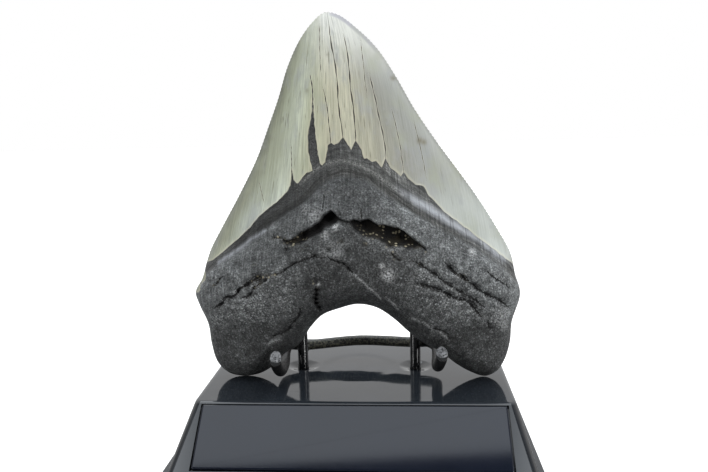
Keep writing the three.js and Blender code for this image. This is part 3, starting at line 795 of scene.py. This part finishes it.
# Enamel: mm inside its border, on each face.
below = np.zeros(u.shape, bool)
bare_zone = ENAMEL_EDGE + [(70, 30), (70, -20), (-70, -20), (-70, 41)]
for (au, av), (bu, bv) in zip(bare_zone, bare_zone[1:] + bare_zone[:1]):
    below ^= ((av > v) != (bv > v)) & (u < au + (v - av) * (bu - au) / ((bv - av) or 1e-9))
enamel_front = np.abs(from_line(ENAMEL_EDGE, u, v)[0]) * np.where(below, -1, 1) + 0.22 * fine
enamel_back = (v - (40 + 7 * (1 - (u / 54) ** 2) - 0.018 * u)) + 0.8 * coarse + 0.5 * middling + 0.4 * fine
enamel = np.where(front, enamel_front, enamel_back)
down_side = 0.45 * np.maximum(6.5 - thick, 0)
for su, sv, r in LEFT_SCALES:
    scale = r - np.sqrt((u - su) ** 2 + (v - sv) ** 2 + down_side**2) + 0.5 * fine
    enamel = np.where(front, np.maximum(enamel, scale), enamel)

above_crease = from_line(NECK_CREASE, u, v)[0] + wander
neck = step_up(above_crease, -0.3, 0.6) * (1 - step_up(enamel, -0.3, 0.3)) * front
lip_left = front * np.exp(-((from_line(NECK_RIDGE_LEFT, u, v)[0] + 0.5 * wander) / 0.75) ** 2)
ridge_right = front * np.exp(-((from_line(NECK_RIDGE_RIGHT, u, v)[0] + wander) / 1.3) ** 2)
neck_arc = np.exp(-((from_line(NECK_ARC, u, v)[0] + 0.6 * wander) / 0.45) ** 2) * front

under_lip = -from_line(HOLLOW_TOP, u, v)[0] + 1.2 * wander
over_foot = from_line(HOLLOW_FOOT, u, v)[0] + 1.6 * wander
in_span = (u > -24) & (u < 24.9)
hollow = np.where(in_span & front, np.minimum(under_lip, over_foot), -5.0)


def cracked(cracks, where, waver=1.0):
    """Signed distance to the nearest crack in half widths, steep away from it, and the cracks' depth."""
    nearest, depth = np.full(u.shape, 4000.0), np.zeros(u.shape)
    for half, line in cracks:
        s, share = from_line(smooth_line(line, steps=4), u, v)
        s = s + waver * wander
        taper = np.clip(np.minimum(share, 1 - share) / 0.14, 0.03, 1)
        taper = taper * (1 + 0.4 * np.sin(share * 37 + half * 90))
        q = s / (half * taper) * (1 + 20 * np.maximum(np.abs(s) - 1, 0))
        nearest = np.where(where & (np.abs(q) < np.abs(nearest)), q, nearest)
        depth = np.maximum(depth, where * half * taper * np.exp(-((s / (half + 0.25)) ** 2)))
    return np.clip(nearest, -4000, 4000), depth


enamel_crack, enamel_split = cracked(ENAMEL_CRACKS, front, 0.4)
root_crack, root_split = cracked(ROOT_CRACKS, front)
back_crack, back_split = cracked(BACK_CRACKS, ~front)
enamel_crack, root_crack = (np.where(front, crack, back_crack) for crack in (enamel_crack, root_crack))
enamel_split, root_split = (np.where(front, split, back_split) for split in (enamel_split, root_split))


def spots(places):
    """Each (across, up, radius, strength) spot's strength at its middle, falling to 0 a little beyond it."""
    level = np.zeros(u.shape)
    for su, sv, r, strength in places:
        level = np.maximum(level, strength * front * np.exp(-((np.hypot(u - su, v - sv) / r) ** 2) * 0.7))
    return level


scuff_and_highlight = spots(SCUFFS_AND_HIGHLIGHTS)
pitted = spots([(pu, pv, r, 1.0) for pu, pv, r, _ in PITS])
wrinkled = np.zeros(u.shape)
for line in WRINKLES:
    wrinkled = np.maximum(wrinkled, front * np.exp(-((from_line(line, u, v)[0] + 0.4 * wander) / 0.5) ** 2))
scuff_and_highlight = np.maximum(scuff_and_highlight, 0.4 * wrinkled)
cleft = np.maximum(step_up(hollow, -0.3, 0.5), 1 - step_up(np.abs(root_crack), 1.5, 4.0))
rust = np.where(enamel > 0.1, spots(ENAMEL_STAINS), spots(RUST) * np.maximum(cleft, pitted))

# Painted light and shade on the root, 0 to 1, over some random tone: painted shade round the arch and under
# the lobes, painted light on the lobes' flanks and the upper right.
away = np.abs(u)
painted_light_and_tone = 0.02 + 0.15 * step_up(v, 38, 50) + 0.22 * step_up(away, 8, 30) * step_up(v + 0.45 * away, 30, 50)
painted_light_and_tone += 0.17 * step_up(v + 0.55 * u, 40, 66) * step_up(u, 5, 15) + 0.10 * coarse + 0.09 * middling
painted_light_and_tone += 0.46 * step_up(away, 10, 30) * step_up(v, 16, 30) * (1 - step_up(v, 36, 46))
painted_light_and_tone += 0.36 * step_up(u, 4, 14) * step_up(v, 50, 56) - 0.07 * step_up(-u, 10, 30) * (1 - step_up(v, 14, 24))
painted_light_and_tone -= 0.07 * (1 - step_up(away, 10, 22)) * (1 - step_up(v, 42, 48))

is_enamel = step_up(enamel, -0.25, 0.25)
root = 1 - is_enamel
lift = ENAMEL_THICK * is_enamel + is_enamel * (0.10 * coarse + 0.03 * middling)
lift += root * (1 - neck) * (0.45 * coarse + 0.26 * middling + 0.13 * fine)
lift += root * neck * (0.10 * coarse + 0.05 * middling)
lift -= front * root * 0.9 * np.exp(-((above_crease - 1.1) / 1.0) ** 2)
lift += root * (0.5 * lip_left + 0.4 * ridge_right + 0.35 * wrinkled)
lift += front * root * 0.35 * step_up(-above_crease, 0.0, 2.5)
bowl = step_up(under_lip, -0.1, 0.7) * step_up(over_foot, -0.4, 3.4) * (hollow > -1)
lift -= (HOLLOW_DEPTH + 0.7 * middling) * bowl
lift += 0.5 * fine * step_up(hollow, 0.0, 1.0)
lift -= root * 2.6 * root_split + is_enamel * 0.7 * enamel_split
for pu, pv, r, deep in PITS:
    lift -= front * deep * np.exp(-(((u - pu) ** 2 + (v - pv) ** 2) / r**2))
    in_pit = 0.9 * r - np.hypot(u - pu, v - pv) - 0.2
    hollow = np.where(front & (enamel < 0), np.maximum(hollow, in_pit), hollow)
w = np.where(front, 1, -1) * (thick + lift * step_up(from_edge, 0.0, 1.6))
v = v + 0.7 * step_up(under_lip, 0.1, 0.9) * (1 - step_up(under_lip, 0.9, 2.2)) * (hollow > 0)

# Serrations: every other column of the cutting edge stands a little out.
nib = np.where(column % 2 == 0, NIB_OUT, NIB_IN) * step_up(rim[:, 1], 42, 46)
nib = nib * (1 - step_up(from_edge, 0.3, 1.0))
ray = (rim - TOOTH_CENTRE) / np.linalg.norm(rim - TOOTH_CENTRE, axis=1)[:, None]
u, v = u + ray[:, 0] * nib, v + ray[:, 1] * nib

lean_cos, lean_sin = math.cos(TOOTH_LEAN), math.sin(TOOTH_LEAN)
height = v * lean_cos + w * lean_sin
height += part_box("tooth")[0][2] / MM - height.min()
tooth_points = np.stack([u, TOOTH_FOOT_Y + v * lean_sin - w * lean_cos, height], 1) * MM
for vertex, point in zip(bm.verts, tooth_points):
    vertex.co = point
tooth_mesh = finished_mesh(bm, "fossil_tooth")
fields = {
    "enamel": enamel, "enamel_crack": enamel_crack, "root_crack": root_crack, "neck": neck, "hollow": hollow,
    "scuff_and_highlight": scuff_and_highlight, "rust": rust, "across": across, "crease": above_crease, "arc": neck_arc, "painted_light_and_tone": painted_light_and_tone,
    "sheen": np.maximum(0.55 * lip_left, step_up(u, 12, 24) * (1 - 0.35 * step_up(u, 34, 44)) * ridge_right),
    "worn_tip": front * step_up(v, 108, 118) * step_up(u, -9, -6) * (1 - step_up(from_edge, 0.9, 1.6)),
}
for name, values in fields.items():
    tooth_mesh.attributes.new(name, "FLOAT", "POINT").data.foreach_set("value", values.astype(np.float32))
growth = np.stack([u * 0.75 + across * 10, v, np.where(front, 0.0, 60.0)], 1).astype(np.float32)
tooth_mesh.attributes.new("growth", "FLOAT_VECTOR", "POINT").data.foreach_set("vector", growth.ravel())

# Fossil apatite, one material in three zones. Enamel: waxy and grey-olive with fine upright
# growth streaks 0.7 mm wide. Neck: dark, smooth, with faint upright striae and a painted sheen
# on its ridges. Root dentine: near black, granular at 0.5 mm, with bright specks painted as glints,
# painted light and shade over its tone, painted shade in its hollow and cracks, and rusty grains
# packed in its hollow.
fossil, shader, add = new_material("fossil_apatite", IOR=1.5)
field = {name: add("Attribute", attribute_name=name).outputs["Fac"] for name in fields}
growth = add("Attribute", attribute_name="growth").outputs["Vector"]
place = add("TexCoord").outputs["Object"]

# Patterns that run with the tooth's growth, stretched across and up as given, and even ones, by
# scale: both with their detail and roughness.
pattern = {}
for name, stretch, detail, roughness in (
    ("streak", (1.9, 0.07, 1.0), 5.0, 0.75), ("band", (0.28, 0.018, 1.0), 2.0, 0.5),
    ("wavering", (0.85, 0.022, 1.0), 1.0, 0.5), ("broken", (0.7, 0.14, 1.0), 3.0, 0.5),
    ("mottle", (0.13, 0.06, 1.0), 5.0, 0.65), ("stria", (1.9, 0.12, 1.0), 2.0, 0.5),
):
    grown = add("VectorMath", (growth, stretch), operation="MULTIPLY")
    pattern[name] = add("TexNoise", {"Vector": grown, "Scale": 1.0, "Detail": detail, "Roughness": roughness})
for name, scale, detail, roughness in (
    ("blotch", 95.0, 3.0, 0.5), ("cloudy", 110.0, 4.0, 0.6), ("clumps", 420.0, 3.0, 0.6),
    ("grit", 1700.0, 3.0, 0.7),
):
    pattern[name] = add("TexNoise", {
        "Vector": place, "Scale": scale, "Detail": detail, "Roughness": roughness,
    })

# Enamel colour: olive-beige at the left and middle, greyer to the right, and pale at the tip.
side = add("MapRange", (field["across"], -1.0, 1.0))
tone = add("ValToRGB", {0: side}, stops=[
    (0.0, "#73766a"), (0.04, "#888b76"), (0.10, "#a3a892"), (0.20, "#bac0ad"), (0.28, "#b2b59a"),
    (0.40, "#b7b59e"), (0.50, "#c3c1ab"), (0.62, "#aeac99"), (0.76, "#8a8a80"), (0.90, "#979993"),
    (0.97, "#a6a8a2"), (1.0, "#8e908a"),
])
up = add("SeparateXYZ", {0: growth}).outputs[1]
near_tip = add("MapRange", (up, 98.0, 126.0), interpolation_type="SMOOTHSTEP")
inward = add("MapRange", (field["across"], -0.95, -0.2, 0.15, 1.0))
near_tip = add("Math", (near_tip, inward), operation="MULTIPLY")
low_corner = add("Math", (
    add("MapRange", (up, 74.0, 56.0, 0.0, 0.5), interpolation_type="SMOOTHSTEP"),
    add("MapRange", (field["across"], -0.9, -0.78)),
), operation="MULTIPLY")
for share, colour in ((near_tip, "#cfd0c8"), (low_corner, "#c3cac4")):
    tone = add("Mix", {0: share, 6: tone, 7: linear(colour)}, data_type="RGBA")

# Its streaks, stronger at the left and middle, and dark hairlines, broken here and there.
shade = add("Math", (
    add("MapRange", (pattern["streak"], 0.32, 0.68, 0.66, 1.24)),
    add("MapRange", (pattern["band"], 0.3, 0.7, 0.90, 1.08)),
), operation="MULTIPLY")
streaky = add("MapRange", (field["across"], 0.15, 0.6, 1.0, 0.4))
tone = add("Mix", {0: streaky, 6: tone, 7: shade}, data_type="RGBA", blend_type="MULTIPLY")
off_hair = add("Math", (pattern["wavering"], 0.5), operation="SUBTRACT")
off_hair = add("Math", (off_hair,), operation="ABSOLUTE")
hair = add("Math", (
    add("MapRange", (off_hair, 0.0, 0.02, 0.75, 0.0)), add("MapRange", (pattern["broken"], 0.48, 0.56)),
), operation="MULTIPLY")
hair = add("Math", (hair, streaky), operation="MULTIPLY")
greyed = add("MapRange", (pattern["mottle"], 0.5, 0.66, 0.0, 0.5), interpolation_type="SMOOTHSTEP")
olive = add("MapRange", (pattern["blotch"], 0.45, 0.75, 0.0, 0.55), interpolation_type="SMOOTHSTEP")

# Its cracks, with painted shade inside and a paler lip on each side, and the pale rim along its torn border.
split = add("Math", (field["enamel_crack"],), operation="ABSOLUTE")
beside = add("MapRange", (split, 1.0, 3.0, 0.35, 0.0))
lip = add("MapRange", (field["enamel"], 0.1, 0.9, 0.4, 0.0))
painted_split_shade = add("MapRange", (split, 0.75, 1.15, 1.0, 0.0))
for share, colour in (
    (hair, "#5f5d4e"), (greyed, "#979a9b"), (field["worn_tip"], "#a3a2a6"), (olive, "#9da18a"),
    (beside, "#e0dac4"), (lip, "#ddd7c0"), (field["rust"], "#6e674f"), (painted_split_shade, "#35312a"),
):
    tone = add("Mix", {0: share, 6: tone, 7: linear(colour)}, data_type="RGBA")

# Root colour: charcoal with lighter grains, a few bright specks painted as glints, rust in the hollow and
# cracks.
grit, clumps, stria = pattern["grit"], pattern["clumps"], pattern["stria"]
root_tone = add("ValToRGB", {0: grit}, stops=[
    (0.36, "#303131"), (0.48, "#4f5151"), (0.58, "#646666"), (0.70, "#929495"),
])
dark = add("MapRange", (pattern["cloudy"], 0.35, 0.65, 0.7, 1.2))
dark = add("Math", (dark, add("MapRange", (clumps, 0.35, 0.62, 0.55, 1.3))), operation="MULTIPLY")
cell = add("TexVoronoi", {"Vector": place, "Scale": 2300.0})
cell_tone = add("SeparateColor", {0: cell.outputs["Color"]})
grains = add("MapRange", (cell_tone.outputs[2], 0.0, 1.0, 0.45, 1.45))
for factor in (dark, grains):
    root_tone = add("Mix", {0: 1.0, 6: root_tone, 7: factor}, data_type="RGBA", blend_type="MULTIPLY")
worn = add("MapRange", (field["crease"], -16.0, -9.0, 0.0, 0.45))
leftward = add("MapRange", (field["across"], -0.2, 0.2, 0.75, 0.3))
worn_grain = add("Mix", {0: leftward, 2: grit, 3: stria})
worn_tone = add("ValToRGB", {0: worn_grain}, stops=[(0.38, "#292b2c"), (0.5, "#4b4e4f"), (0.62, "#727576")])
worn_tone = add("Mix", {0: 1.0, 6: worn_tone, 7: dark}, data_type="RGBA", blend_type="MULTIPLY")
root_tone = add("Mix", {0: worn, 6: root_tone, 7: worn_tone}, data_type="RGBA")
lower = add("MapRange", (worn, 0.0, 0.45, 0.5, 0.12))
# A few bright specks painted as glints, fewer in the worn band.
painted_glint = add("MapRange", (cell_tone.outputs[0], 0.93, 0.97))
painted_glint = add("Math", (painted_glint, lower), operation="MULTIPLY")
root_tone = add("Mix", {0: painted_glint, 6: root_tone, 7: linear("#b4b7b8")}, data_type="RGBA")
# Painted light and shade: the root darker round the arch and under the lobes, lighter on its flanks and upper
# right.
painted_light_and_tone = add("MapRange", (field["painted_light_and_tone"], 0.0, 1.0, 0.5, 2.2))
root_tone = add("Mix", {0: 1.0, 6: root_tone, 7: painted_light_and_tone}, data_type="RGBA", blend_type="MULTIPLY")
# Pale scuffs, a few of them painted highlights on the root's ridges.
scuffed = add("Math", (field["scuff_and_highlight"], add("MapRange", (grit, 0.4, 0.54))), operation="MULTIPLY")
root_tone = add("Mix", {0: scuffed, 6: root_tone, 7: linear("#d6d8d8")}, data_type="RGBA")

# Neck: smoother, with upright striae half a millimetre apart, with a painted sheen along its ridges.
strata = add("TexNoise", {
    "Vector": add("CombineXYZ", {
        0: add("Math", (field["crease"], 1.3), operation="MULTIPLY"),
        1: add("Math", (field["across"], 4.0), operation="MULTIPLY"),
    }),
    "Scale": 1.0,
    "Detail": 4.0,
    "Roughness": 0.65,
})
layered = add("Math", (
    add("Math", (stria, 0.45), operation="MULTIPLY"), add("Math", (strata, 0.6), operation="MULTIPLY"),
), operation="ADD")
neck_tone = add("ValToRGB", {0: layered}, stops=[
    (0.40, "#2b2c2b"), (0.52, "#4c4d4b"), (0.60, "#666765"), (0.68, "#8c8d8c"),
])
neck_side = add("MapRange", (field["across"], -0.55, 0.35, 0.25, 1.15))
for share, factor in ((0.6, grains), (1.0, neck_side)):
    neck_tone = add("Mix", {0: share, 6: neck_tone, 7: factor}, data_type="RGBA", blend_type="MULTIPLY")
dashed = add("Math", (field["arc"], add("MapRange", (grit, 0.42, 0.6, 0.0, 0.75))), operation="MULTIPLY")
neck_tone = add("Mix", {0: dashed, 6: neck_tone, 7: linear("#a3a4a0")}, data_type="RGBA")
# A painted highlight along the neck's ridges, strongest on the right.
painted_ridge_sheen = add("Math", (field["sheen"], add("MapRange", (stria, 0.38, 0.5, 0.55, 1.0))), operation="MULTIPLY")
dark_tone = add("Mix", {0: field["neck"], 6: root_tone, 7: neck_tone}, data_type="RGBA")
dark_tone = add("Mix", {0: painted_ridge_sheen, 6: dark_tone, 7: linear("#b4b8be")}, data_type="RGBA")

# The hollow and the cracks are painted near black inside as painted shade, and rusty crumbs of rock lie in
# them.
painted_hollow_shade = add("MapRange", (field["hollow"], -0.2, 0.9))
ragged = add("MapRange", (grit, 0.35, 0.65, -1.1, 0.9))
torn = add("Math", (add("Math", (field["root_crack"],), operation="ABSOLUTE"), ragged), operation="ADD")
painted_crack_shade = add("MapRange", (torn, 0.6, 1.3, 1.0, 0.0))
crumb = add("TexVoronoi", {"Vector": place, "Scale": 950.0})
crumb_tone = add("SeparateColor", {0: crumb.outputs["Color"]})
crumb_on = add("MapRange", (crumb_tone.outputs[0], 0.72, 0.78))
crumb_core = add("MapRange", (crumb.outputs["Distance"], 0.5, 0.3))
crumbs = add("Math", (crumb_on, crumb_core), operation="MULTIPLY")
earthy = add("MapRange", (clumps, 0.4, 0.6, 0.0, 0.35))
stained = add("Math", (field["rust"], earthy), operation="MULTIPLY")
rusty = add("Math", (field["rust"], crumbs), operation="MULTIPLY")
for share, colour in ((painted_hollow_shade, "#030303"), (painted_crack_shade, "#070707"), (stained, "#4d4532"), (rusty, "#c4bba0")):
    dark_tone = add("Mix", {0: share, 6: dark_tone, 7: linear(colour)}, data_type="RGBA")

# Surface: the root granular and dull, dullest in the hollow, the neck and the enamel waxy.
capped = add("MapRange", (field["enamel"], -0.05, 0.12))
grain_height = add("Math", (
    add("Math", (
        add("Math", (grit, 1.8), operation="MULTIPLY"), add("Math", (clumps, 3.0), operation="MULTIPLY"),
    ), operation="ADD"),
    add("Math", (cell.outputs["Distance"], 0.7), operation="MULTIPLY"),
), operation="SUBTRACT")
streak_height = add("Math", (pattern["streak"], 0.10), operation="MULTIPLY")
relief = add("Mix", {0: capped, 2: grain_height, 3: streak_height})
rough_ends = add("Mix", {
    0: field["neck"], 2: add("MapRange", (cell_tone.outputs[1], 0.0, 1.0, 0.42, 0.7)), 3: 0.40,
})
rough_ends = add("Mix", {0: painted_hollow_shade, 2: rough_ends, 3: 0.95})
plug(shader, {
    "Base Color": add("Mix", {0: capped, 6: dark_tone, 7: tone}, data_type="RGBA"),
    "Roughness": add("Mix", {0: capped, 2: rough_ends, 3: 0.40}),
    "Normal": add("Bump", {"Height": relief, "Strength": 0.85, "Distance": 0.0004}),
})
tooth_mesh.materials.append(fossil)
add_piece("fossil_tooth", tooth_mesh, "tooth", slot="fossil_tooth")
